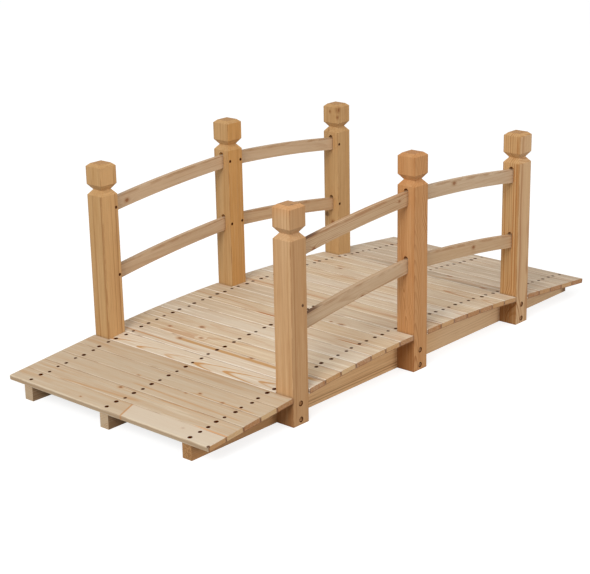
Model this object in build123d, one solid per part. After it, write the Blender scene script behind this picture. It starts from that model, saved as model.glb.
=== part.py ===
from build123d import *
import math
import os

# Moon bridge: a small timber garden bridge with an arched plank deck and bowed rails.
# The origin is the centre of the footprint on the ground. +X runs along the bridge,
# +Y across it to the far side and +Z up. All sizes are in millimetres.

os.makedirs("parts", exist_ok=True)

# Overall form
bridge_length = 1500.0       # over the outer edges of the two end planks
crown_height = 98.0          # top of the deck at mid-span
shoulder_height = 76.8       # top of the deck at the end posts, where the arch runs into straight ramps
post_spacing = 447.0         # from the middle posts to the end posts

# Deck planks
plank_width = 54.7
plank_thickness = 12.5
plank_length = 674.0         # across the bridge
plank_min_gap = 0.4          # the least that two neighbours are kept apart
plank_edge_ease = 0.6        # chamfer along the long top edges
nose_radius = 2.0            # rounded outer edge of the two end planks
short_plank_gap = 1.0        # from the end of a short plank to the post's inner face

# Arched beams under the deck
beam_thickness = 28.0
beam_end_setback = 1.5       # behind the outer edge of the end plank

# Posts
post_side = 52.0
post_setback = 2.0           # of the post's outer face from the plank ends
end_post_height = 520.0
middle_post_rise = 31.0      # of a middle post's top above an end post's

# Carved head of a post, from the top down
cap_bevel_height = 7.0
cap_bevel_inset = 8.0
cap_side_height = 45.0       # upright faces of the cap
groove_upper_height = 14.0   # slope from the cap in to the neck
groove_lower_height = 13.0   # slope from the neck out to the shaft
neck_side = 30.6

# Bowed rails
rail_height = 34.0
rail_thickness = 12.5
rail_bow = 5.0               # rise of a rail's arc above its chord
upper_rail_middle_drop = 110.0   # from the top of the middle post to the rail's centreline at its face
upper_rail_end_drop = 113.0      # the same at an end post
rail_row_middle_step = 170.5     # from the upper row down to the lower row at the middle post
rail_row_end_step = 177.0        # the same at an end post

# Routed mortises that take the rail ends
mortise_depth = 12.0
mortise_clearance = 0.8      # between a rail and the sides and foot of its mortise
tenon_shoulder_gap = 0.4     # the chamfered part of a rail end starts this far outside the post

# Counterbored holes for the two lag screws at the foot of each post
counterbore_diameter = 14.0
counterbore_depth = 12.0
lag_hole_diameter = 8.0
lower_lag_z = 12.5
upper_lag_z = 52.0

# Layout that follows from the sizes above
middle_post_height = end_post_height + middle_post_rise
half_length = bridge_length / 2
deck_rise = crown_height - shoulder_height
deck_radius = (post_spacing ** 2 + deck_rise ** 2) / (2 * deck_rise)
beam_radius = deck_radius - plank_thickness
arch_centre_z = crown_height - deck_radius
ramp_angle = math.asin(post_spacing / deck_radius)
post_outer_y = plank_length / 2 - post_setback
post_y = post_outer_y - post_side / 2
post_inner_y = post_outer_y - post_side
short_plank_length = 2 * (post_inner_y - short_plank_gap)
post_zone = max(plank_width, post_side)
mortise_width = rail_thickness + 2 * mortise_clearance


def save(shape, name):
    """Write one piece as its own file, named after the piece."""
    shape.label = name
    export_step(shape, f"parts/{name}.step")


def arch_sketch(radius, half_span, base_z):
    """The region between a level base and the arch of the given radius with its straight ramps, in the XZ plane."""
    join_x, join_z = radius * math.sin(ramp_angle), arch_centre_z + radius * math.cos(ramp_angle)
    end_z = join_z - (half_span - join_x) * math.tan(ramp_angle)
    with BuildSketch(Plane.XZ) as sketch:
        with BuildLine():
            Polyline((-join_x, join_z), (-half_span, end_z), (-half_span, base_z), (half_span, base_z),
                     (half_span, end_z), (join_x, join_z))
            ThreePointArc((join_x, join_z), (0, arch_centre_z + radius), (-join_x, join_z))
        make_face()
    return sketch.sketch


def deck_surface(x):
    """Height and downward slope in radians of the deck's top at x."""
    if abs(x) < post_spacing:
        return arch_centre_z + math.sqrt(deck_radius ** 2 - x ** 2), math.asin(x / deck_radius)
    return shoulder_height - (abs(x) - post_spacing) * math.tan(ramp_angle), math.copysign(ramp_angle, x)


def beam(centre_y):
    """A board with a level lower edge and an arched upper edge with ramps that carries the planks."""
    half_span = half_length - beam_end_setback
    board = extrude(arch_sketch(beam_radius, half_span, 0), amount=beam_thickness / 2, both=True)
    return board.moved(Location((0, centre_y, 0)))


def plank_positions():
    """Centres of all planks along X, with the three short ones marked, from left to right."""
    step = plank_width + plank_min_gap
    bay_space = post_spacing - post_zone
    bay_count = int((bay_space - plank_min_gap) // step)
    bay_gap = (bay_space - bay_count * plank_width) / (bay_count + 1)
    bay = [post_zone / 2 + (i + 1) * bay_gap + (i + 0.5) * plank_width for i in range(bay_count)]
    ramp_start = post_spacing + post_zone / 2
    ramp_space = half_length - ramp_start
    ramp_count = int(ramp_space // step)
    ramp_pitch = ramp_space / ramp_count
    ramp = [half_length - (i + 0.5) * plank_width - i * (ramp_pitch - plank_width) for i in range(ramp_count)]
    right = [(x, False) for x in bay] + [(post_spacing, True)] + [(x, False) for x in reversed(ramp)]
    left = [(-x, short) for x, short in reversed(right)]
    return left + [(0.0, True)] + right


def plank(x, length, outer_edge):
    """A flat plank laid on the beams at x; outer_edge is -1 or +1 where that edge is rounded."""
    with BuildSketch(Plane.XZ) as section:
        Rectangle(plank_width, plank_thickness, align=(Align.CENTER, Align.MAX))
        top = section.vertices().group_by(Axis.Z)[-1].sort_by(Axis.X)
        if outer_edge:
            nosed = section.vertices().group_by(Axis.X)[0 if outer_edge < 0 else -1]
            fillet(nosed, min(nose_radius, 0.48 * plank_thickness))
            top = [top[1 if outer_edge < 0 else 0]]
        chamfer(top, plank_edge_ease)
    board = extrude(section.sketch, amount=length / 2, both=True)
    z, slope = deck_surface(x)
    return board.moved(Location((x, 0, z), (0, math.degrees(slope), 0)))


def head_profile(height):
    """Half of a post's outline, from the foot on the axis up to the top on the axis."""
    half = post_side / 2
    cap_top = height - cap_bevel_height
    cap_foot = cap_top - cap_side_height
    neck_z = cap_foot - groove_upper_height
    shoulder_z = neck_z - groove_lower_height
    return [(half, 0), (half, shoulder_z), (neck_side / 2, neck_z), (half, cap_foot), (half, cap_top),
            (half - cap_bevel_inset, height)]


def square_turning(height):
    """A square post whose four sides all follow the same grooved outline."""
    right = head_profile(height)
    outline = right + [(-across, z) for across, z in reversed(right)]
    with BuildSketch(Plane.XZ) as front:
        with BuildLine():
            Polyline(*outline, close=True)
        make_face()
    with BuildSketch(Plane.YZ) as side:
        with BuildLine():
            Polyline(*outline, close=True)
        make_face()
    along = extrude(front.sketch, amount=post_side, both=True)
    across = extrude(side.sketch, amount=post_side, both=True)
    return along & across


def rail_arc(middle_z, end_z):
    """Centre (x, z) and radius of the centreline of a rail in the right-hand bay."""
    x0, x1 = post_side / 2, post_spacing - post_side / 2
    chord = math.hypot(x1 - x0, end_z - middle_z)
    radius = chord ** 2 / (8 * rail_bow) + rail_bow / 2
    normal_x, normal_z = (middle_z - end_z) / chord, (x1 - x0) / chord
    drop = radius - rail_bow
    return (x0 + x1) / 2 - drop * normal_x, (middle_z + end_z) / 2 - drop * normal_z, radius


def arc_z(arc, x, offset):
    """Height of the arc at x, for the centreline moved outwards by offset."""
    centre_x, centre_z, radius = arc
    return centre_z + math.sqrt((radius + offset) ** 2 - (x - centre_x) ** 2)


def rail_entry(arc, at_end_post):
    """Where a rail of the right-hand bay enters a post: the face's and floor's x, the rail's highest and lowest z."""
    face_x = post_spacing - post_side / 2 if at_end_post else post_side / 2
    floor_x = face_x + mortise_depth if at_end_post else face_x - mortise_depth
    tops = [arc_z(arc, x, rail_height / 2) for x in (face_x, floor_x)]
    lows = [arc_z(arc, x, -rail_height / 2) for x in (face_x, floor_x)]
    return face_x, floor_x, max(tops), min(lows)


def tenon_corners(face_x, floor_x, lowest):
    """The two lower corners of a rail end, cut away so that it lies in the round foot of its mortise."""
    half = rail_thickness / 2
    reach = half + mortise_clearance / 2
    chamfer_leg = half - math.sqrt(reach ** 2 - half ** 2)
    margin = chamfer_leg / 2
    with BuildSketch(Plane.YZ) as corners:
        for side in (-1, 1):
            with BuildLine():
                Polyline((side * (half - chamfer_leg - margin), lowest - margin),
                         (side * (half + margin), lowest - margin),
                         (side * (half + margin), lowest + chamfer_leg + margin), close=True)
            make_face()
    cutter = extrude(corners.sketch, amount=2 * mortise_depth)
    outward = math.copysign(tenon_shoulder_gap, face_x - floor_x)
    start = face_x + outward if floor_x > face_x else face_x + outward - 2 * mortise_depth
    return cutter.moved(Location((start, 0, 0)))


def rail(middle_z, end_z):
    """A bowed rail of the right-hand bay, its ends against the floors of the mortises."""
    arc = rail_arc(middle_z, end_z)
    ends = [rail_entry(arc, at_end_post) for at_end_post in (False, True)]
    x0, x1 = ends[0][1], ends[1][1]
    xm = (x0 + x1) / 2
    outer, inner = rail_height / 2, -rail_height / 2
    with BuildSketch(Plane.XZ) as outline:
        with BuildLine():
            top_left, top_right = (x0, arc_z(arc, x0, outer)), (x1, arc_z(arc, x1, outer))
            low_left, low_right = (x0, arc_z(arc, x0, inner)), (x1, arc_z(arc, x1, inner))
            ThreePointArc(top_left, (xm, arc_z(arc, xm, outer)), top_right)
            Line(top_right, low_right)
            ThreePointArc(low_right, (xm, arc_z(arc, xm, inner)), low_left)
            Line(low_left, top_left)
        make_face()
    board = extrude(outline.sketch, amount=rail_thickness / 2, both=True)
    for face_x, floor_x, _, lowest in ends:
        board -= tenon_corners(face_x, floor_x, lowest)
    return board


def mortise(middle_z, end_z, at_end_post):
    """The round-ended slot for a rail of the right-hand bay, as the solid to cut away.

    The rail lies at its foot, in the round end, and the other round end stays open above the rail.
    """
    face_x, floor_x, highest, lowest = rail_entry(rail_arc(middle_z, end_z), at_end_post)
    upper = highest + mortise_clearance
    lower = lowest - mortise_clearance + mortise_width / 2
    with BuildSketch(Plane.YZ) as slot:
        with Locations((0, (upper + lower) / 2)):
            SlotCenterToCenter(upper - lower, mortise_width, rotation=90)
    cutter = extrude(slot.sketch, amount=mortise_depth)
    return cutter.moved(Location((min(face_x, floor_x), 0, 0)))


def lag_hole(z):
    """A counterbored hole right through a post of the near side, from its outer face."""
    face = Plane(origin=(0, -post_side / 2, z), x_dir=(1, 0, 0), z_dir=(0, -1, 0))
    bore = extrude(face * Circle(lag_hole_diameter / 2), amount=-post_side)
    recess = extrude(face * Circle(counterbore_diameter / 2), amount=-counterbore_depth)
    return bore + recess


upper_rail = (middle_post_height - upper_rail_middle_drop, end_post_height - upper_rail_end_drop)
lower_rail = (upper_rail[0] - rail_row_middle_step, upper_rail[1] - rail_row_end_step)


def near_post(place):
    """A post on the near side at -post_spacing, 0 or +post_spacing, with all its cuts."""
    height = end_post_height if place else middle_post_height
    post = square_turning(height)
    for z in (lower_lag_z, upper_lag_z):
        post -= lag_hole(z)
    for row in (upper_rail, lower_rail):
        if place:
            slot = mortise(*row, True).moved(Location((-post_spacing, 0, 0)))
            post -= slot if place > 0 else mirror(slot, Plane.YZ)
        else:
            slot = mortise(*row, False)
            post -= slot
            post -= mirror(slot, Plane.YZ)
    return post.moved(Location((place * post_spacing, -post_y, 0)))


# The three beams
beam_y = post_inner_y - beam_thickness / 2
for name, centre_y in (("near", -beam_y), ("middle", 0), ("far", beam_y)):
    save(beam(centre_y), f"beam_{name}")

# The deck, from the left end to the right end
planks = plank_positions()
for number, (x, short) in enumerate(planks, start=1):
    edge = -1 if number == 1 else 1 if number == len(planks) else 0
    save(plank(x, short_plank_length if short else plank_length, edge), f"deck_plank_{number:02d}")

# The posts, and the same posts mirrored to the far side
for name, place in (("left", -1), ("middle", 0), ("right", 1)):
    post = near_post(place)
    save(post, f"post_near_{name}")
    save(mirror(post, Plane.XZ), f"post_far_{name}")

# The rails, four to a side
for level, row in (("upper", upper_rail), ("lower", lower_rail)):
    right_rail = rail(*row).moved(Location((0, -post_y, 0)))
    left_rail = mirror(right_rail, Plane.YZ)
    for side, bay_rail in (("right", right_rail), ("left", left_rail)):
        save(bay_rail, f"rail_near_{side}_{level}")
        save(mirror(bay_rail, Plane.XZ), f"rail_far_{side}_{level}")
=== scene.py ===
import functools
import math
import random
from typing import NamedTuple

import bmesh
import bpy
from mathutils import Matrix, Vector


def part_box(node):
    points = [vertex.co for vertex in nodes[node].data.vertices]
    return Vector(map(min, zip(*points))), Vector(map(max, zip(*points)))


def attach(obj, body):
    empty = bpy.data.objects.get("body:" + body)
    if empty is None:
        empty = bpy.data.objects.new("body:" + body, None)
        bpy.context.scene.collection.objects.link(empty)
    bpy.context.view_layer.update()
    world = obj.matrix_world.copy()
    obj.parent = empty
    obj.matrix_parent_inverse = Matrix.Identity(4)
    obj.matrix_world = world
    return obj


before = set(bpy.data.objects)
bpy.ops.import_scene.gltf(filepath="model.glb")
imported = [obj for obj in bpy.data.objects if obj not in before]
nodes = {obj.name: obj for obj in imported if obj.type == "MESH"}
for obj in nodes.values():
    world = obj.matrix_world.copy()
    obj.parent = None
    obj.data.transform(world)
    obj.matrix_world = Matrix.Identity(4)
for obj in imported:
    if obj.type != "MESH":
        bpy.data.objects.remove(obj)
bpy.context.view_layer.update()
scene = bpy.context.scene

# Units and places: objects are in metres, the sizes of wood and screws in mm

MM = 0.001
TO_MM = 1000
EX, EY, EZ = Vector((1, 0, 0)), Vector((0, 1, 0)), Vector((0, 0, 1))


def placed(at, axes):
    """The matrix that turns an object's own three axes to these and moves it to a point."""
    return Matrix.Translation(at) @ Matrix(axes).transposed().to_4x4()


def extent(node):
    """The middle of a CAD node in metres and its half sizes in mm."""
    low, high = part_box(node)
    return (low + high) / 2, (high - low) * (TO_MM / 2)


# Camera and lamps

IMAGE_WIDTH = 590
FOCAL_PX = 1567.54
SENSOR_MM = 36.0
CAMERA_AT = (-2.91348, -2.54369, 1.42328)
CAMERA_AZIMUTH, CAMERA_TILT, CAMERA_ROLL = 0.73287, -0.31843, -0.01946
CAMERA_REACH = 80


def make_camera():
    """A camera fitted to the corners of the posts, deck and beams; its angles are in radians."""
    level = Vector((math.sin(CAMERA_AZIMUTH), -math.cos(CAMERA_AZIMUTH), 0))
    ahead = EZ.cross(level)
    forward = math.cos(CAMERA_TILT) * ahead + math.sin(CAMERA_TILT) * EZ
    upright = level.cross(forward)
    right = math.cos(CAMERA_ROLL) * level + math.sin(CAMERA_ROLL) * upright
    up = -math.sin(CAMERA_ROLL) * level + math.cos(CAMERA_ROLL) * upright
    data = bpy.data.cameras.new("camera")
    data.sensor_width = SENSOR_MM
    data.lens = FOCAL_PX / IMAGE_WIDTH * SENSOR_MM
    data.clip_end = CAMERA_REACH
    camera = bpy.data.objects.new("camera", data)
    camera.matrix_world = placed(CAMERA_AT, (right, up, -forward))
    scene.collection.objects.link(camera)
    scene.camera = camera


def area_light(name, at, target, size, watts):
    data = bpy.data.lights.new(name, "AREA")
    data.shape, data.size, data.energy = "DISK", size, watts
    lamp = bpy.data.objects.new(name, data)
    lamp.location = at
    lamp.rotation_mode = "QUATERNION"
    lamp.rotation_quaternion = (Vector(target) - Vector(at)).to_track_quat("-Z", "Y")
    scene.collection.objects.link(lamp)


# Node trees


def srgb(r, g, b):
    """A colour given as 0-255 screen values, as linear RGBA."""
    def linear(v):
        v /= 255
        return v / 12.92 if v <= 0.04045 else ((v + 0.055) / 1.055) ** 2.4
    return (linear(r), linear(g), linear(b), 1.0)


class Graph:
    """Short calls for adding nodes to the tree of a material or world."""

    def __init__(self, owner):
        owner.use_nodes = True
        self.owner, self.tree = owner, owner.node_tree
        self.tree.nodes.clear()

    def node(self, kind, **settings):
        made = self.tree.nodes.new(kind)
        for key, value in settings.items():
            setattr(made, key, value)
        return made

    def put(self, socket, value):
        if isinstance(value, bpy.types.NodeSocket):
            self.tree.links.new(value, socket)
        else:
            socket.default_value = value

    def math(self, operation, a, b=0.0):
        made = self.node("ShaderNodeMath", operation=operation)
        self.put(made.inputs[0], a)
        self.put(made.inputs[1], b)
        return made.outputs[0]

    def add(self, a, b):
        return self.math("ADD", a, b)

    def sub(self, a, b):
        return self.math("SUBTRACT", a, b)

    def mul(self, a, b):
        return self.math("MULTIPLY", a, b)

    def most(self, a, b):
        return self.math("MAXIMUM", a, b)

    def absolute(self, a):
        return self.math("ABSOLUTE", a)

    def remap(self, value, low, high, to_low=0.0, to_high=1.0, smooth=True):
        """From low..high to to_low..to_high, held at both ends; low may be above high."""
        if low > high:
            low, high, to_low, to_high = high, low, to_high, to_low
        made = self.node("ShaderNodeMapRange", interpolation_type="SMOOTHSTEP" if smooth else "LINEAR")
        for socket, v in zip(made.inputs, (value, low, high, to_low, to_high)):
            self.put(socket, v)
        return made.outputs[0]

    def vector(self, operation, a, b=(0, 0, 0), output="Vector"):
        made = self.node("ShaderNodeVectorMath", operation=operation)
        self.put(made.inputs[0], a)
        self.put(made.inputs[1], b)
        return made.outputs[output]

    def dot(self, a, b):
        return self.vector("DOT_PRODUCT", a, b, "Value")

    def length(self, a):
        return self.vector("LENGTH", a, output="Value")

    def noise(self, vector, detail, rough):
        made = self.node("ShaderNodeTexNoise")
        for name, value in (("Vector", vector), ("Scale", 1.0), ("Detail", detail), ("Roughness", rough)):
            self.put(made.inputs[name], value)
        return made.outputs["Fac"]

    def mix(self, factor, a, b):
        """From colour a to colour b, each a socket or 0-255 screen values."""
        made = self.node("ShaderNodeMix", data_type="RGBA")
        # the node has a set of sockets for each kind of data, and these are the ones for colours
        on_factor, on_a, on_b, mixed = made.inputs[0], made.inputs[6], made.inputs[7], made.outputs[2]
        self.put(on_factor, factor)
        for socket, colour in ((on_a, a), (on_b, b)):
            self.put(socket, colour if isinstance(colour, bpy.types.NodeSocket) else srgb(*colour))
        return mixed

    def surface(self, colour, rough, height, bump, depth, specular, metallic=0.0):
        """Ends the tree in a shader whose bump is this deep in metres, and returns the material."""
        relief = self.node("ShaderNodeBump")
        for name, value in (("Strength", bump), ("Distance", depth), ("Height", height)):
            self.put(relief.inputs[name], value)
        shader = self.node("ShaderNodeBsdfPrincipled")
        for name, value in (("Base Color", colour), ("Roughness", rough), ("Normal", relief.outputs[0]),
                            ("Specular IOR Level", specular), ("Metallic", metallic)):
            self.put(shader.inputs[name], value)
        self.put(self.node("ShaderNodeOutputMaterial").inputs[0], shader.outputs[0])
        return self.owner

    def background_ray(self):
        """1 where the camera looks, directly or in a glossy surface, and 0 for light on the bridge."""
        path = self.node("ShaderNodeLightPath")
        return self.most(path.outputs["Is Camera Ray"], path.outputs["Is Glossy Ray"])


# What a board shows: places are in mm on its own axes from its middle, with x along the grain


class Tone(NamedTuple):
    """The colours of one kind of wood."""
    ground: tuple
    streak: tuple
    late: tuple
    end: tuple
    light: tuple


class Knot(NamedTuple):
    """A branch's round end, with the rings bent round it."""
    x: float
    y: float
    z: float
    radius: float


class Swirl(NamedTuple):
    """Rings bent round a spot that has no knot."""
    x: float
    y: float
    z: float
    reach: float
    height: float


class Mark(NamedTuple):
    """A dark stain or chip, or a spot of painted shade."""
    x: float
    y: float
    z: float
    radius: float
    strength: float


class Streak(NamedTuple):
    """A band along the grain from one x to another, in the late wood's colour if none is given."""
    y: float
    z: float
    slope: float
    half_width: float
    strength: float
    start: float
    stop: float
    colour: tuple = None


class Joint(NamedTuple):
    """A glued finger joint across the top, paler on the side of higher (1) or lower (-1) x."""
    x: float
    slope: float
    side: int


class Wash(NamedTuple):
    """A tint that comes in between two x."""
    none_at: float
    full_at: float
    colour: tuple
    strength: float


class Face(NamedTuple):
    """A tint of what looks in one direction of the bridge, coming in between two x if given."""
    way: tuple
    colour: tuple
    strength: float
    none_at: float = None
    full_at: float = None


class Grain(NamedTuple):
    """How a board was cut out of its log, and what it shows."""
    tone: Tone
    pith: tuple = (0, -60)        # the log's centre, in y and z
    tilt: tuple = (0.0, 0.0)      # its shift in y and z per mm of x, which draws arches on faces
    ring: float = 5.0             # width of a year
    wave: float = 1.0             # how far the years wander
    late: float = 0.5             # strength of the late wood
    even: float = 0.15            # its share in the weakest year
    crisp: float = 0.45           # the part of the year at which it starts
    core: float = 1.0             # its share far from the log's centre
    broad: float = 0.6            # strength of the broad bands
    strand: tuple = (3.0, 0.3)    # width and strength of the fine strands
    grey: float = 0.0             # strength of the weathered patches
    rim: float = 0.35             # strength of the worn arrises; on planks, of the painted highlight on them
    in_deck: bool = False         # painted highlight on arrises at +y, painted shade of the gaps at -y and on the ends' sides and lower edges
    knots: tuple = ()
    swirls: tuple = ()
    streaks: tuple = ()
    joints: tuple = ()
    marks: tuple = ()
    washes: tuple = ()
    faces: tuple = ()


# Colours that all boards share

KNOT = (136, 84, 44)
# the colour of stains and chips, and of a spot of painted shade on one post
STAIN_AND_SHADE = (92, 58, 32)
WEATHERED = (168, 147, 122)
JOINTED = (218, 203, 182)
GLUE = (188, 134, 82)
# painted shade of the gaps between planks, along their arrises
GAP_SHADE = (132, 88, 50)
# painted shade on plank ends, beside the gaps and along the lower edge
END_EDGE_SHADE = (112, 56, 20)


class Board(Graph):
    """The node tree of one board, whose rings run on from its faces to its ends.

    axes are its directions along, across and through the grain, and half its half sizes on them in
    mm. Each paint method lays one layer over self.colour.
    """

    def __init__(self, name, centre, axes, half, seed, grain):
        super().__init__(bpy.data.materials.new(name))
        self.axes, self.half, self.seed, self.grain = axes, half, seed, grain
        self.local = self.own_axes(centre)
        split = self.node("ShaderNodeSeparateXYZ")
        self.put(split.inputs[0], self.local)
        self.x, self.y, self.z = split.outputs
        rng = random.Random(seed)
        self.moved = self.vector("ADD", self.local, tuple(rng.uniform(-500, 500) for _ in range(3)))
        self.normal = self.node("ShaderNodeNewGeometry").outputs["Normal"]
        self.end = self.remap(self.absolute(self.dot(self.normal, axes[0])), 0.7, 0.9)
        self.fine = self.patches(46, 1.0, 3, 0.6)
        self.ripple = self.patches(90, 16)
        self.spots = [(self.away(knot[:3], 0.7), knot.radius) for knot in grain.knots]
        self.grow_rings()

    def own_axes(self, centre):
        """The place on the board's own axes, in mm from its middle."""
        turn = Matrix(self.axes)
        mapping = self.node("ShaderNodeMapping", vector_type="POINT")
        mapping.inputs["Scale"].default_value = (TO_MM, TO_MM, TO_MM)
        mapping.inputs["Rotation"].default_value = turn.to_euler("XYZ")
        mapping.inputs["Location"].default_value = turn @ (Vector(centre) * -TO_MM)
        self.put(mapping.inputs["Vector"], self.node("ShaderNodeTexCoord").outputs["Object"])
        return mapping.outputs[0]

    def patches(self, along, across, detail=2, rough=0.5):
        """Noise whose patches are this long along and across the grain."""
        squeezed = self.vector("MULTIPLY", self.moved, (1 / along, 1 / across, 1 / across))
        return self.noise(squeezed, detail, rough)

    def shifted(self, value, noise, reach):
        """A value moved by noise, up to half this far either way."""
        return self.add(value, self.mul(self.sub(noise, 0.5), reach))

    def away(self, spot, along=1.0):
        """Distance from a spot, in which a step along the grain counts for this much."""
        return self.length(self.vector("MULTIPLY", self.vector("SUBTRACT", self.local, spot), (along, 1, 1)))

    def grow_rings(self):
        """The lines of late wood, round a centre that leans and with knots and swirls in their way."""
        grain = self.grain
        dy, dz = (self.sub(across, self.add(self.mul(self.x, lean), pith))
                  for across, lean, pith in zip((self.y, self.z), grain.tilt, grain.pith))
        radius = self.math("SQRT", self.add(self.mul(dy, dy), self.mul(dz, dz)))
        # slow waves 330 mm long and ripples 90 mm long
        radius = self.shifted(radius, self.patches(330, 60), 14 * grain.wave)
        radius = self.shifted(radius, self.ripple, 3 * grain.wave)
        for distance, size in self.spots:
            radius = self.add(radius, self.remap(distance, 0, size * 4.5, size * 1.6, 0))
        for swirl in grain.swirls:
            radius = self.add(radius, self.remap(self.away(swirl[:3], 0.45), 0, swirl.reach, swirl.height, 0))

        # late wood comes in slowly through a year and stops short at its end
        years = self.math("DIVIDE", radius, grain.ring)
        season = self.math("FRACT", years)
        self.line = self.mul(self.remap(season, grain.crisp, 0.90), self.remap(season, 0.93, 1.0, 1, 0))
        # each year has its own share of it, and on the faces it fades here and there
        luck = self.node("ShaderNodeTexWhiteNoise", noise_dimensions="1D")
        self.put(luck.inputs["W"], self.add(self.math("FLOOR", years), self.seed + 0.5))
        year = self.remap(luck.outputs["Value"], 0.15, 1.0, grain.even, 1.0, smooth=False)
        self.late_wood = self.mul(self.line, year)
        fading = self.remap(self.patches(210, 34), 0.32, 0.62, 0.35, 1.0)
        self.face_late = self.mul(self.late_wood, self.mul(fading, grain.late))
        if grain.core < 1:
            self.face_late = self.mul(self.face_late, self.remap(self.absolute(dy), 12, 30, 1, grain.core))

    def paint(self, amount, colour):
        self.colour = self.mix(amount, self.colour, colour)

    def paint_ground(self):
        tone = self.grain.tone
        bands = self.mul(self.remap(self.patches(420, 17, 3), 0.40, 0.66), self.grain.broad)
        self.colour = self.mix(bands, tone.ground, tone.streak)

    def paint_tints(self):
        for wash in self.grain.washes:
            self.paint(self.remap(self.x, wash.none_at, wash.full_at, 0, wash.strength), wash.colour)
        for face in self.grain.faces:
            amount = self.remap(self.dot(self.normal, face.way), 0.6, 0.9, 0, face.strength)
            if face.none_at is not None:
                amount = self.mul(amount, self.remap(self.x, face.none_at, face.full_at))
            self.paint(amount, face.colour)

    def paint_fibres(self):
        tone = self.grain.tone
        width, strength = self.grain.strand
        strands = self.patches(300, width, 4, 0.72)
        self.paint(self.remap(strands, 0.53, 0.66, 0, strength), tone.late)
        self.paint(self.remap(strands, 0.48, 0.36, 0, strength * 1.3), tone.light)
        self.paint(self.face_late, tone.late)
        self.paint(self.remap(self.fine, 0.44, 0.72, 0, 0.2), tone.late)

    def paint_streaks(self):
        fade = 40
        for streak in self.grain.streaks:
            width = streak.half_width
            off = self.absolute(self.sub(self.y, self.add(self.mul(self.x, streak.slope), streak.y)))
            off = self.add(off, self.mul(self.absolute(self.sub(self.z, streak.z)), 0.25))
            off = self.shifted(off, self.ripple, width * 0.9)
            band = self.remap(off, width * 0.55, width * 1.25, 1, 0)
            ends = self.mul(self.remap(self.x, streak.start, streak.start + fade),
                            self.remap(self.x, streak.stop, streak.stop - fade))
            self.paint(self.mul(self.mul(band, ends), streak.strength), streak.colour or self.grain.tone.late)

    def paint_weather(self):
        if self.grain.grey:
            self.paint(self.mul(self.remap(self.patches(160, 30, 3), 0.36, 0.64), self.grain.grey), WEATHERED)

    def paint_end_grain(self):
        """The rings on the sawn ends; a plank's end has painted shade beside the gaps at its sides and along
        its underside.
        """
        tone = self.grain.tone
        colour = self.mix(self.mul(self.late_wood, 0.7), tone.end, tone.late)
        colour = self.mix(self.remap(self.patches(3, 3, 3), 0.40, 0.62, 0, 0.4), colour, tone.streak)
        if self.grain.in_deck:
            _, half_width, half_thickness = self.half
            # painted shade on a plank's end, beside the gaps and along its lower edge
            beside = self.remap(self.absolute(self.y), half_width - 4.0, half_width - 0.8)
            below = self.remap(self.z, 1.8 - half_thickness, 0.6 - half_thickness)
            end_edge_shade = self.most(beside, below)
            colour = self.mix(self.mul(end_edge_shade, 0.8), colour, END_EDGE_SHADE)
        self.paint(self.mul(self.end, 0.9), colour)

    def paint_knots(self):
        """Knots, each in a darker halo; those that touch are one."""
        cores, halos = [], []
        for distance, size in self.spots:
            edge = self.shifted(distance, self.patches(5, 4), size * 0.7)
            cores.append(self.remap(edge, size * 0.55, size * 1.15, 1, 0))
            halos.append(self.remap(edge, size * 0.9, size * 2.2, 1, 0))
        if self.spots:
            self.paint(self.mul(functools.reduce(self.most, halos), 0.45), self.grain.tone.late)
            self.paint(self.mul(functools.reduce(self.most, cores), 0.8), KNOT)

    def paint_joints(self):
        top = self.remap(self.dot(self.normal, self.axes[2]), 0.7, 0.9)
        for joint in self.grain.joints:
            beyond = self.sub(self.sub(self.x, joint.x), self.mul(self.y, joint.slope))
            paler = self.mul(self.remap(self.mul(beyond, joint.side), 0, 1.5), top)
            self.paint(self.mul(paler, 0.6), JOINTED)
            self.paint(self.mul(self.remap(self.absolute(beyond), 1.6, 3.6, 1, 0), 0.8), GLUE)

    def paint_arrises(self):
        """Bruises on the arrises; on a plank, a painted highlight on the arrises of one side and painted
        shade of the gap on the other.
        """
        grain, tone = self.grain, self.grain.tone
        _, half_width, half_thickness = self.half
        to_edge = self.most(self.sub(half_width, self.absolute(self.y)),
                            self.sub(half_thickness, self.absolute(self.z)))
        if not grain.in_deck:
            bruised = self.mul(self.remap(to_edge, 2.4, 0.5), self.remap(self.patches(40, 12), 0.35, 0.6))
            self.paint(self.mul(bruised, grain.rim), tone.late)
            return
        side = self.mul(self.remap(self.y, -0.5, 0.5), self.sub(1.0, self.end))
        # painted highlight along the arrises on the +y side
        arris_highlight = self.mul(self.remap(to_edge, 4.4, 1.2), self.remap(self.patches(70, 14), 0.34, 0.5, 0.25, 1))
        self.paint(self.mul(self.mul(arris_highlight, side), grain.rim), tone.light)
        # painted shade of the gap along the arrises on the -y side
        gap = self.mul(self.remap(to_edge, 2.6, 0.6), self.remap(self.patches(90, 20), 0.34, 0.5, 0.3, 1))
        self.paint(self.mul(self.mul(gap, self.sub(1.0, side)), 0.85), GAP_SHADE)

    def paint_marks(self):
        for mark in self.grain.marks:
            edge = self.shifted(self.away(mark[:3]), self.patches(4, 4), mark.radius * 0.8)
            # each mark is a stain or chip, except one on the far right post that is painted shade
            stain_and_shade = self.remap(edge, mark.radius * 0.6, mark.radius * 1.2, 1, 0)
            self.paint(self.mul(stain_and_shade, mark.strength), STAIN_AND_SHADE)

    def wood(self):
        """Paints all layers and returns the material."""
        self.paint_ground()
        self.paint_tints()
        self.paint_fibres()
        self.paint_streaks()
        self.paint_weather()
        self.paint_end_grain()
        self.paint_knots()
        self.paint_joints()
        self.paint_arrises()
        self.paint_marks()
        relief = self.add(self.mul(self.fine, 0.5), self.mul(self.line, 0.5))
        rough = self.remap(self.fine, 0.3, 0.7, 0.60, 0.76)
        return self.surface(self.colour, rough, relief, bump=0.30, depth=0.4 * MM, specular=0.25)


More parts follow.
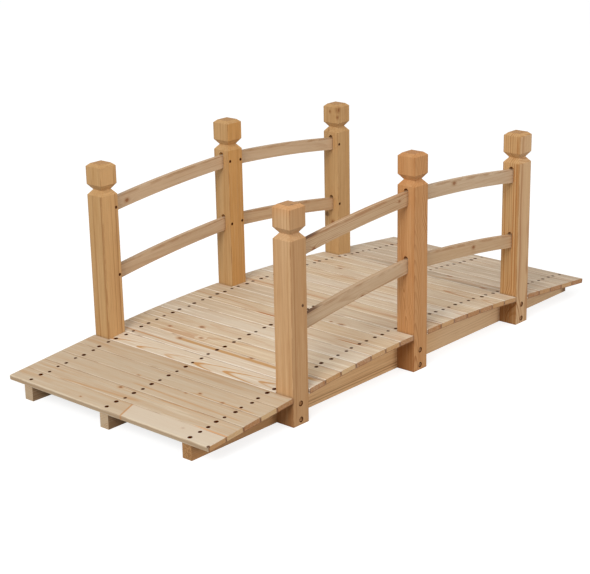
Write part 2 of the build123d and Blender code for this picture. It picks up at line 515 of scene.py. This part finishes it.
def dress(name, centre, axes, half, seed, grain):
    """Gives a CAD node its own wood."""
    mesh = nodes[name].data
    mesh.materials.clear()
    mesh.materials.append(Board(f"wood_{name}", centre, axes, half, seed, grain).wood())


# Deck planks: x is +Y of the bridge, y runs towards its left end and z is up

DECK_RAMP = Tone((198, 178, 151), (188, 158, 124), (186, 132, 74), (196, 154, 106), (222, 206, 180))
DECK = Tone((218, 199, 171), (208, 180, 146), (180, 116, 54), (198, 154, 106), (246, 234, 213))
DECK_WARM = Tone((216, 194, 162), (208, 177, 139), (178, 110, 48), (192, 144, 94), (244, 228, 203))
DECK_WHITE = Tone((221, 205, 182), (211, 187, 155), (188, 130, 72), (190, 154, 114), (248, 238, 221))
DECK_ARCHES = Tone((219, 202, 178), (211, 187, 155), (196, 146, 92), (190, 154, 114), (246, 235, 217))
DECK_GREY = Tone((214, 195, 169), (200, 173, 142), (166, 106, 50), (204, 162, 116), (244, 232, 212))
PLANK_ENDS = (210, 172, 122), (184, 132, 76), (164, 106, 54), (196, 148, 94)
BAY_SHADE = Wash(40, 300, (180, 152, 118), 0.42)
# painted shade on the plank sides that look into the gaps between planks
LEFT_GAP_SHADE, RIGHT_GAP_SHADE = (Face((way, 0, 0), (130, 84, 44), 0.65) for way in (-1, 1))

PLANK_HALF_WIDTH = 27.35
PLANK_HALF_THICKNESS = 6.25
LEVEL_ENOUGH = 0.9  # the normal of every plank's top is more upright than this
SAME_WAY = 0.001  # normals of one flat face differ by less
TOP = 6  # knots and streaks of a plank's top lie this far above its middle
LEFT_POSTS, MIDDLE_POSTS, RIGHT_POSTS = 6, 14, 22  # numbers of the planks between the posts

# what single planks show
PLANKS = {
    1: dict(tone=DECK_RAMP, pith=(10, -70), ring=6, late=0.35, strand=(7.0, 0.2),
            joints=(Joint(-49, -0.32, -1),), marks=(Mark(-334, 25, TOP, 4.6, 1.0),),
            knots=(Knot(-225, -6, TOP, 3.3), Knot(96, 12, TOP, 2.4)),
            faces=(Face((-1, 0, 0), (172, 146, 116), 0.75), RIGHT_GAP_SHADE)),
    2: dict(tone=DECK_RAMP, late=0.4, knots=(Knot(51, -19, TOP, 4.2),),
            streaks=(Streak(12, TOP, 0.066, 4.0, 0.45, -60, 335), Streak(-20, TOP, 0.03, 3, 0.45, -330, -60),
                     Streak(25, TOP, 0.0, 2.8, 0.85, -380, -225, (208, 142, 84)))),
    3: dict(tone=DECK_RAMP, late=0.25, broad=0.4, strand=(7.0, 0.2), knots=(Knot(-105, -26, TOP, 3.2),),
            streaks=(Streak(4, TOP, -0.02, 2.5, 0.5, -330, 60),)),
    4: dict(tone=DECK_RAMP, late=0.2, broad=0.4, strand=(7.0, 0.2),
            knots=(Knot(62, 25, TOP, 3.8), Knot(-136, 15, TOP, 3.6), Knot(-214, 22, TOP, 3.6)),
            streaks=(Streak(22, TOP, 0.0, 2.5, 0.6, -334, -100),)),
    5: dict(tone=DECK_RAMP, late=0.2, ring=8, broad=0.9, strand=(7.0, 0.22)),
    6: dict(tone=DECK_ARCHES, pith=(13, -39), ring=4.5, tilt=(0.035, -0.045), late=1.6, wave=0.25,
            even=0.75, crisp=0.6, core=0.25, broad=0.25, strand=(7.0, 0.3)),
    7: dict(tone=DECK_WHITE, pith=(-12, -34), ring=9, tilt=(0.004, 0.02), late=0.7, wave=0.4,
            knots=(Knot(131, -17, TOP, 5.0), Knot(-106, -25, TOP, 4.6)),
            streaks=(Streak(-15, TOP, 0.0, 6.0, 0.95, -340, 150, (192, 146, 92)),
                     Streak(15, TOP, -0.02, 3, 0.6, 20, 336),
                     # the last streak is painted shade of the gap to plank 8, at the near end
                     Streak(-22, TOP, 0.0, 2.4, 0.8, -380, -280, (150, 104, 64)))),
    8: dict(tone=DECK_WARM, late=0.4, knots=(Knot(209, -2, TOP, 3.6), Knot(86, 10, TOP, 3.8))),
    9: dict(tone=DECK, late=0.35, knots=(Knot(134, 14, TOP, 5.0),)),
    10: dict(tone=DECK_WHITE, late=0.4, ring=7),
    11: dict(tone=DECK, late=0.4, streaks=(Streak(-2, TOP, 0.03, 3, 0.8, -300, -180),)),
    12: dict(tone=DECK_WARM, late=0.6, streaks=(Streak(21, TOP, 0.01, 4, 0.9, -110, 110),)),
    13: dict(tone=DECK, late=0.4, knots=(Knot(-144, 24, TOP, 6.9), Knot(-110, 20, TOP, 3.0))),
    14: dict(tone=DECK, late=0.4, grey=0.2),
    15: dict(tone=DECK_WARM, late=0.5,
             streaks=(Streak(6, TOP, 0.0, 6, 0.4, -330, 330),
                      Streak(-8, TOP, 0.04, 2.2, 0.7, -380, -240, (150, 100, 60)))),
    16: dict(tone=DECK, late=0.4,
             streaks=(Streak(12, TOP, -0.03, 2.0, 0.8, -370, -250, (146, 92, 50)),
                      Streak(-14, TOP, 0.02, 1.6, 0.6, -380, -270, (156, 104, 62)))),
    17: dict(tone=DECK_WHITE, late=0.45, knots=(Knot(14, -14, TOP, 5.4),)),
    18: dict(tone=DECK_WARM, late=0.4, knots=(Knot(265, 6, TOP, 4.5),)),
    19: dict(tone=DECK, late=0.4, knots=(Knot(178, -24, TOP, 5.1),)),
    20: dict(tone=DECK_WARM, pith=(12, -36), ring=5, tilt=(0.02, -0.045), late=0.9, wave=0.5, even=0.4,
             crisp=0.6, core=0.4),
    21: dict(tone=DECK, late=0.4),
    22: dict(tone=DECK_GREY, late=0.7, grey=0.7, broad=0.9,
             knots=(Knot(-81, -23, TOP, 6.0), Knot(-221, 17, TOP, 5.4))),
    23: dict(tone=DECK_GREY, late=0.5, grey=0.35, knots=(Knot(120, 8, TOP, 5.1),)),
    27: dict(tone=DECK_GREY, faces=(LEFT_GAP_SHADE,)),
}
plank_names = sorted(name for name in nodes if name.startswith("deck_plank"))


def plank_frame(name):
    """Middle of a plank's top face, its downhill-to-the-right direction and its upward normal."""
    mesh = nodes[name].data
    level = [polygon for polygon in mesh.polygons if polygon.normal.z > LEVEL_ENOUGH]
    up = max(level, key=lambda polygon: polygon.area).normal.normalized()
    along = EY.cross(up)
    top = [polygon for polygon in level if (polygon.normal - up).length < SAME_WAY]
    corners = [mesh.vertices[i].co for polygon in top for i in polygon.vertices]
    reach = [corner.dot(along) for corner in corners]
    return along * ((min(reach) + max(reach)) / 2) + up * corners[0].dot(up), along, up


def plank_grain(number, seed):
    """A plank's grain, in which chance settles what PLANKS doesn't say."""
    rng = random.Random(seed)
    on_right = number >= RIGHT_POSTS
    grain = dict(
        tone=DECK_GREY if on_right else rng.choice((DECK, DECK, DECK_WARM, DECK_WHITE)),
        pith=(rng.uniform(-30, 30), rng.choice((-1, 1)) * rng.uniform(28, 80)),
        ring=rng.uniform(4.5, 7.5),
        tilt=(rng.uniform(-0.02, 0.02), rng.uniform(-0.03, 0.03)),
        late=rng.uniform(0.3, 0.6),
        grey=0.4 if on_right else 0.0,
        strand=(5.0, 0.5) if number > MIDDLE_POSTS else (8.0, 0.34),
        broad=0.45,
        rim=0.6 if number < LEFT_POSTS else 0.8,
        in_deck=True,
        washes=(BAY_SHADE,) if LEFT_POSTS < number <= MIDDLE_POSTS else (),
        faces=(LEFT_GAP_SHADE, RIGHT_GAP_SHADE))
    grain.update(PLANKS.get(number, {}))
    grain["tone"] = grain["tone"]._replace(end=rng.choice(PLANK_ENDS))
    return Grain(**grain)


for number, name in enumerate(plank_names, start=1):
    seed = 100 + number
    top, along, up = plank_frame(name)
    _, half = extent(name)
    dress(name, top - up * (PLANK_HALF_THICKNESS * MM), (EY, -along, up),
          (half.y, PLANK_HALF_WIDTH, PLANK_HALF_THICKNESS), seed, plank_grain(number, seed))

# Posts: x is up, y is +X of the bridge and z is +Y

POST = Tone((204, 164, 120), (190, 146, 98), (150, 96, 48), (176, 130, 84), (218, 184, 142))
POST_YELLOW = Tone((197, 157, 107), (186, 142, 90), (142, 90, 40), (178, 132, 82), (213, 178, 130))
POST_LIGHT = Tone((206, 164, 112), (193, 148, 94), (150, 88, 36), (178, 132, 82), (220, 186, 138))
POST_ORANGE = Tone((203, 150, 98), (192, 135, 82), (152, 92, 42), (178, 126, 78), (212, 170, 124))
BROWN_LINE = (168, 104, 48)
FOOT = (128, 78, 38)
TO_LEFT, TO_NEAR = (-1, 0, 0), (0, -1, 0)
DECK_SHADE_ON_POSTS = Face(TO_LEFT, (158, 98, 44), 0.6, -185, -215)  # painted shade of the deck: the posts' left faces are browner below it
SEEN = -26  # the left and the near face of a post lie here

# each post's tint of its near face is partly the wood's own colour and partly painted light and shade,
# lighter or darker for how the light falls there
POSTS = {
    "post_far_left": dict(
        tone=POST_YELLOW, pith=(-8, 95), late=0.45, tilt=(0.004, 0.0), wave=0.5,
        faces=(Face(TO_NEAR, (206, 162, 110), 0.85),),
        streaks=(Streak(SEEN, -22, 0.0, 0.5, 0.6, -260, 210), Streak(SEEN, 8, 0.0, 0.4, 0.35, -260, 240),
                 Streak(3, SEEN, 0.004, 1.1, 0.4, -260, 200), Streak(17, SEEN, 0.0, 1.4, 0.5, -260, 260))),
    "post_far_middle": dict(
        tone=POST_YELLOW, pith=(70, 80), ring=7, late=0.3, wave=0.5, broad=0.8,
        faces=(Face(TO_NEAR, (200, 147, 84), 0.9),), streaks=(Streak(8, SEEN, 0.006, 7, 0.15, -270, 270),)),
    "post_far_right": dict(
        tone=POST_YELLOW, pith=(60, -90), ring=4, late=0.45, wave=0.6,
        knots=(Knot(246, -21, -23, 5.5), Knot(240, SEEN, 2, 3), Knot(226, -24, -24, 3.5),
               Knot(-86, SEEN, -4, 5), Knot(190, SEEN, 10, 4)),
        # the mark is a spot of painted shade near the far edge of the left face
        marks=(Mark(-64, SEEN, 17, 8, 0.7),)),
    "post_near_left": dict(
        tone=POST, pith=(40, 60), ring=6, late=0.4, wave=0.5,
        faces=(Face(TO_NEAR, (186, 140, 94), 0.7), DECK_SHADE_ON_POSTS),
        streaks=(Streak(-15, SEEN, 0.0, 2.2, 0.35, -260, 200),),
        marks=(Mark(25, 12, SEEN, 4.2, 1.0), Mark(259, -3, -12, 4, 0.6)),
        washes=(Wash(226, 262, (214, 150, 92), 0.5),)),
    "post_near_middle": dict(
        tone=POST_ORANGE, pith=(-24, 10), ring=3.4, late=0.85, even=0.4, tilt=(-0.02, 0.085), wave=0.3,
        faces=(Face(TO_NEAR, (197, 142, 89), 0.6), DECK_SHADE_ON_POSTS),
        swirls=(Swirl(120, 4, SEEN, 34, 9), Swirl(-97, SEEN, -6, 26, 7))),
    "post_near_right": dict(
        tone=POST_LIGHT, pith=(20, 100), ring=6, late=0.9, even=0.4, tilt=(0.002, 0.002), wave=0.35,
        faces=(Face(TO_NEAR, (208, 170, 128), 0.85), DECK_SHADE_ON_POSTS),
        swirls=(Swirl(-262, SEEN, 4, 52, 34),), knots=(Knot(252, -8, -12, 4),),
        streaks=(Streak(SEEN, -18, 0.0, 0.55, 0.65, -230, 270, BROWN_LINE),
                 Streak(SEEN, -9, 0.0, 0.5, 0.6, -250, 200, BROWN_LINE),
                 Streak(SEEN, 17, 0.0, 0.6, 0.6, -260, 130, (176, 116, 60)))),
}
for seed, (name, shown) in enumerate(POSTS.items(), start=200):
    centre, half = extent(name)
    grain = {"washes": (), **shown}
    grain["washes"] = (Wash(5 - half.z, 1 - half.z, FOOT, 0.7), *grain["washes"])
    dress(name, centre, (EZ, EX, EY), (half.z, half.x, half.y), seed,
          Grain(rim=0.45, strand=(3.0, 0.28), **grain))

# Rails: x runs to the right along the rail, y is up and z towards the near side

RAIL = Tone((200, 171, 138), (190, 157, 122), (160, 116, 76), (172, 136, 96), (210, 186, 156))
RAIL_WARM = Tone((200, 168, 131), (188, 152, 113), (158, 106, 64), (172, 132, 90), (208, 180, 146))
RAIL_LIGHT = Tone((204, 176, 144), (192, 160, 126), (160, 116, 76), (172, 136, 96), (218, 194, 164))
# darker along the top of a rail towards its left end
DARK_TOP_EDGE = Streak(24.2, 0, 0.03, 2.4, 0.85, -240, -110, (96, 58, 30))
RAIL_HALF = (211, 17, 6.25)  # half sizes along, up and across
RAIL_LEAN = {"upper": 0.086, "lower": 0.1025}
NEAR = 6  # knots and streaks of a rail's near side lie this far from its middle

RAILS = {
    "rail_near_left_lower": dict(tone=RAIL, late=0.4, knots=(Knot(22, -12, NEAR, 4.6),),
                                 streaks=(Streak(-12, NEAR, 0.01, 2.6, 0.55, -205, 205), DARK_TOP_EDGE)),
    "rail_near_left_upper": dict(tone=RAIL_WARM, late=1.0, even=0.4, ring=3.6, pith=(-60, -30),
                                 knots=(Knot(-150, -12, NEAR, 4.0), Knot(165, 5, NEAR, 3.0)),
                                 streaks=(DARK_TOP_EDGE,)),
    "rail_near_right_lower": dict(tone=RAIL_WARM, late=0.4, knots=(Knot(24, 8, NEAR, 4.4),)),
    "rail_near_right_upper": dict(tone=RAIL_LIGHT, late=0.35, knots=(Knot(-64, 13, NEAR, 5.0),)),
    "rail_far_left_upper": dict(tone=RAIL, late=0.3, knots=(Knot(-150, 0, NEAR, 5.0),)),
    "rail_far_left_lower": dict(tone=RAIL, late=0.3),
    "rail_far_right_upper": dict(tone=RAIL, late=0.3),
    "rail_far_right_lower": dict(tone=RAIL_WARM, late=0.4, knots=(Knot(40, 2, NEAR, 3),)),
}


def rail_axes(name):
    """A rail rises towards the middle of the bridge, along the straight line between its ends."""
    *_, side, level = name.split("_")
    lean = RAIL_LEAN[level] if side == "left" else -RAIL_LEAN[level]
    along = Vector((1, 0, lean)).normalized()
    up = along.cross(EY).normalized()
    return along, up, along.cross(up)


for seed, (name, shown) in enumerate(RAILS.items(), start=300):
    rng = random.Random(seed)
    centre, _ = extent(name)
    grain = dict(pith=(rng.uniform(-40, 40), -rng.uniform(30, 80)), ring=rng.uniform(3.5, 5.5),
                 tilt=(rng.uniform(-0.015, 0.015), rng.uniform(-0.03, 0.03)))
    grain.update(shown)
    dress(name, centre, rail_axes(name), RAIL_HALF, seed,
          Grain(wave=0.5, rim=0.5, strand=(2.6, 0.28), broad=0.5, **grain))

# Beams: x is +X of the bridge, y is up and z towards the near side

BEAM = Tone((236, 192, 140), (220, 170, 116), (152, 96, 50), (143, 103, 61), (242, 211, 168))
BEAM_PALE = Tone((202, 172, 136), (192, 156, 116), (160, 112, 68), (190, 170, 142), (214, 190, 158))
BEAM_LINE = (148, 96, 50)
BEAM_FACE = 14  # the near face of a beam lies here
SHADED_BEAM = Face(TO_NEAR, (128, 96, 64), 0.7)

BEAMS = {
    "beam_near": dict(
        tone=BEAM, pith=(-55, -10), ring=7, late=0.4, strand=(3.0, 0.2), knots=(Knot(-742, 4, 10, 2.2),),
        streaks=(Streak(-27, BEAM_FACE, 0.0, 1.7, 0.6, -470, 10, BEAM_LINE),
                 Streak(-34, BEAM_FACE, 0.0, 1.2, 0.5, -470, 10, BEAM_LINE)),
        # the face tint is painted shade of the overhanging ramp planks on the near face at the left end
        faces=(Face(TO_NEAR, (168, 118, 70), 0.65, -440, -480),),
        washes=(Wash(-690, -745, (146, 106, 66), 0.7), Wash(40, 200, (232, 196, 154), 0.75),
                Wash(716, 742, (104, 68, 38), 0.9))),
    "beam_middle": dict(tone=BEAM_PALE, faces=(SHADED_BEAM,), pith=(-50, 30)),
    "beam_far": dict(tone=BEAM_PALE, faces=(SHADED_BEAM,), pith=(60, 20)),
}
for seed, (name, grain) in enumerate(BEAMS.items(), start=400):
    centre, half = extent(name)
    dress(name, centre, (EX, EZ, -EY), (half.x, half.z, half.y), seed, Grain(tilt=(0.004, 0.01), **grain))

# Screws

SPECKS_PER_METRE = 700


def metal(name, colour, dull, rough, seed, metallic=0.0, specular=0.02):
    """Screw steel with specks of rust or dirt; also the painted shade in the holes round the heads."""
    g = Graph(bpy.data.materials.new(name))
    place = g.vector("MULTIPLY", g.node("ShaderNodeTexCoord").outputs["Object"], (SPECKS_PER_METRE,) * 3)
    speck = g.noise(g.vector("ADD", place, (seed, seed, seed)), 3.0, 0.6)
    return g.surface(g.mix(g.remap(speck, 0.40, 0.62), colour, dull),
                     g.remap(speck, 0.3, 0.7, rough - 0.08, rough + 0.12), speck,
                     bump=0.2, depth=0.2 * MM, specular=specular, metallic=metallic)


# the heads' dark brown is partly their own colour and partly painted shade of the holes they sit in
SCREW = metal("screw_brown", (82, 34, 10), (36, 14, 4), 0.9, 3)
# painted shade of the countersunk holes, laid on the wood as flat rings
COUNTERSINK_SHADE = metal("countersink_shadow", (88, 42, 14), (48, 22, 8), 0.95, 11)
LAG = metal("lag_brass", (186, 132, 74), (84, 44, 16), 0.5, 7, metallic=0.25, specular=0.5)
LAG_SHADOW = metal("lag_shadow", (104, 58, 24), (66, 34, 10), 0.95, 13)


class Pieces:
    """A mesh that collects small turned parts and becomes one piece of the bridge."""

    def __init__(self, *materials):
        self.bm, self.materials = bmesh.new(), materials

    def turn(self, place, outline, steps, material=0):
        """A closed-topped turned part; outline has (radius, height) rings in mm, from its foot.

        A radius may be a function of the step round the ring.
        """
        rows = []
        for radius, height in outline:
            row = []
            for step in range(steps):
                angle = 2 * math.pi * step / steps
                r = radius(step) if callable(radius) else radius
                spot = Vector((r * math.cos(angle), r * math.sin(angle), height)) * MM
                row.append(self.bm.verts.new(place @ spot))
            rows.append(row)
        faces = [self.bm.faces.new((low[k - 1], low[k], high[k], high[k - 1]))
                 for low, high in zip(rows, rows[1:]) for k in range(steps)]
        faces.append(self.bm.faces.new(rows[-1]))
        for face in faces:
            face.material_index = material

    def finish(self, name):
        bmesh.ops.recalc_face_normals(self.bm, faces=self.bm.faces)
        mesh = bpy.data.meshes.new(name)
        self.bm.to_mesh(mesh)
        self.bm.free()
        for material in self.materials:
            mesh.materials.append(material)
        piece = bpy.data.objects.new(name, mesh)
        scene.collection.objects.link(piece)
        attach(piece, "root")


SCREW_STEPS = 16


def cross(radius, arm, shoulder, notch):
    """The outline of a cross recess, as the radius at each of a screw's steps."""
    widths = (arm, shoulder, notch, shoulder)
    return lambda step: radius * widths[step % 4]


def screw(pieces, at, along, up, radius, proud, rim):
    """A countersunk cross-head screw, in mm, in a ring of painted shade as wide as rim, which stands for the
    shade in its hole.
    """
    place = placed(at, (along, up.cross(along), up))
    outer = radius + rim
    # the ring of painted shade round the head
    pieces.turn(place, [(outer, -0.3), (outer, 0.10), (radius, 0.16)], SCREW_STEPS, material=1)
    pieces.turn(place, [(radius, 0.0), (radius, proud * 0.6), (radius * 0.88, proud),
                        (cross(radius, 0.58, 0.30, 0.17), proud),
                        (cross(radius, 0.46, 0.20, 0.10), proud * 0.2)], SCREW_STEPS)


LAG_STEPS = 24
BORE_DEPTH = 12.0


def hexagon(reach):
    """The outline of a hexagon socket, this far from flat to middle, as the radius at each step."""
    turn = 360 / LAG_STEPS
    return lambda step: reach / math.cos(math.radians((step * turn + 30) % 60 - 30))


# a cup of painted shade over the counterbore's wall and floor round the head
BORE_SHADE = [(6.95, 0), (6.95, 11.9), (6.8, 11.9), (6.3, 9.6), (4.4, 9.6)]
LAG_HEAD = [(4.8, 9.7), (4.7, 10.7), (3.8, 11.4), (hexagon(2.2), 11.5), (hexagon(2.0), 9.9)]


def lag_screw(pieces, bottom, tangent, out):
    """A lag screw's head and a lining of painted shade in its counterbore, from the counterbore's bottom."""
    place = placed(bottom, (tangent, out.cross(tangent), out))
    pieces.turn(place, BORE_SHADE, LAG_STEPS, material=1)
    pieces.turn(place, LAG_HEAD, LAG_STEPS)


# where the screws sit, in mm
beam_middle, _ = extent("beam_far")
post_middle, post_half = extent("post_far_right")
BEAM_Y = beam_middle.y * TO_MM
END_POST_X = post_middle.x * TO_MM
POST_INNER = post_middle.y * TO_MM - post_half.y
POST_OUTER = post_middle.y * TO_MM + post_half.y
PAIR_APART = 31.0  # the two screws of a plank
RAIL_SCREW_X = 19.7  # from a post's middle towards the rail
END_RAIL_Z, MIDDLE_RAIL_Z = (408.0, 232.5), (443.5, 273.0)
LAG_Z = (12.5, 52.0)


def deck_screws(row, y):
    """One row of deck screws, two to a plank."""
    rng = random.Random(row)
    heads = Pieces(SCREW, COUNTERSINK_SHADE)
    for name in plank_names:
        top, along, up = plank_frame(name)
        for side in (-1, 1):
            step = side * PAIR_APART / 2 + rng.uniform(-1.5, 1.5)
            at = top + along * (step * MM) + EY * ((y + rng.uniform(-3, 3)) * MM)
            spin = Matrix.Rotation(rng.uniform(0, math.pi / 2), 3, up)
            screw(heads, at, spin @ along, up, radius=rng.uniform(2.9, 4.6), proud=0.3, rim=1.2)
    heads.finish(f"deck_screws_{row}")


def post_screws(side, sign):
    """The rail screws on the inner faces of one side's posts and the lag screws on the outer ones."""
    rng = random.Random(side + " pins")
    pins = Pieces(SCREW, COUNTERSINK_SHADE)
    for post_x, heights, ways in ((-END_POST_X, END_RAIL_Z, (1,)), (0.0, MIDDLE_RAIL_Z, (-1, 1)),
                                  (END_POST_X, END_RAIL_Z, (-1,))):
        for z in heights:
            for way in ways:
                at = Vector((post_x + way * RAIL_SCREW_X, sign * POST_INNER, z + rng.uniform(-1.5, 1.5))) * MM
                screw(pins, at, EX, EY * -sign, radius=3.0, proud=0.4, rim=1.0)
    pins.finish(f"rail_screws_{side}")

    lags = Pieces(LAG, LAG_SHADOW)
    out = EY * sign
    for post_x in (-END_POST_X, 0.0, END_POST_X):
        for z in LAG_Z:
            bottom = Vector((post_x, sign * (POST_OUTER - BORE_DEPTH), z)) * MM
            lag_screw(lags, bottom, Matrix.Rotation(rng.uniform(0, math.pi / 3), 3, out) @ EX, out)
    lags.finish(f"lag_screws_{side}")


for row, y in (("near", -BEAM_Y), ("middle", 0.0), ("far", BEAM_Y)):
    deck_screws(row, y)
for side, sign in (("near", -1), ("far", 1)):
    post_screws(side, sign)

# Floor and world

FLOOR_REACH = 20
FLOOR_GREY = 0.36
FLOOR_GLOW = 0.78
WORLD_SEEN, WORLD_LIGHT = 1.0, 0.56


def make_floor():
    """A pale floor that takes the bridge's shadow and looks white where the light is even."""
    corners = [(x * FLOOR_REACH, y * FLOOR_REACH, 0) for x, y in ((-1, -1), (1, -1), (1, 1), (-1, 1))]
    mesh = bpy.data.meshes.new("floor")
    mesh.from_pydata(corners, [], [(0, 1, 2, 3)])
    floor = bpy.data.objects.new("floor", mesh)
    scene.collection.objects.link(floor)
    g = Graph(bpy.data.materials.new("floor_white"))
    diffuse, glow = g.node("ShaderNodeBsdfDiffuse"), g.node("ShaderNodeEmission")
    diffuse.inputs["Color"].default_value = (FLOOR_GREY, FLOOR_GREY, FLOOR_GREY, 1)
    g.put(glow.inputs["Strength"], g.mul(g.background_ray(), FLOOR_GLOW))
    both = g.node("ShaderNodeAddShader")
    g.put(both.inputs[0], diffuse.outputs[0])
    g.put(both.inputs[1], glow.outputs[0])
    g.put(g.node("ShaderNodeOutputMaterial").inputs[0], both.outputs[0])
    mesh.materials.append(g.owner)


def make_world():
    """A white background that lights the bridge less than it shows."""
    world = bpy.data.worlds.new("studio")
    scene.world = world
    g = Graph(world)
    seen, light = g.node("ShaderNodeBackground"), g.node("ShaderNodeBackground")
    for background, strength in ((seen, WORLD_SEEN), (light, WORLD_LIGHT)):
        background.inputs["Color"].default_value = (1, 1, 1, 1)
        background.inputs["Strength"].default_value = strength
    mix = g.node("ShaderNodeMixShader")
    g.put(mix.inputs[0], g.background_ray())
    g.put(mix.inputs[1], light.outputs[0])
    g.put(mix.inputs[2], seen.outputs[0])
    g.put(g.node("ShaderNodeOutputWorld").inputs[0], mix.outputs[0])


make_floor()
make_world()
area_light("key", at=(-5.6, -1.9, 4.7), target=(0, 0, 0.1), size=4.0, watts=315)
area_light("fill", at=(1.6, -7.0, 2.5), target=(0, 0, 0.2), size=3.0, watts=125)
make_camera()
scene.view_settings.view_transform = "Standard"
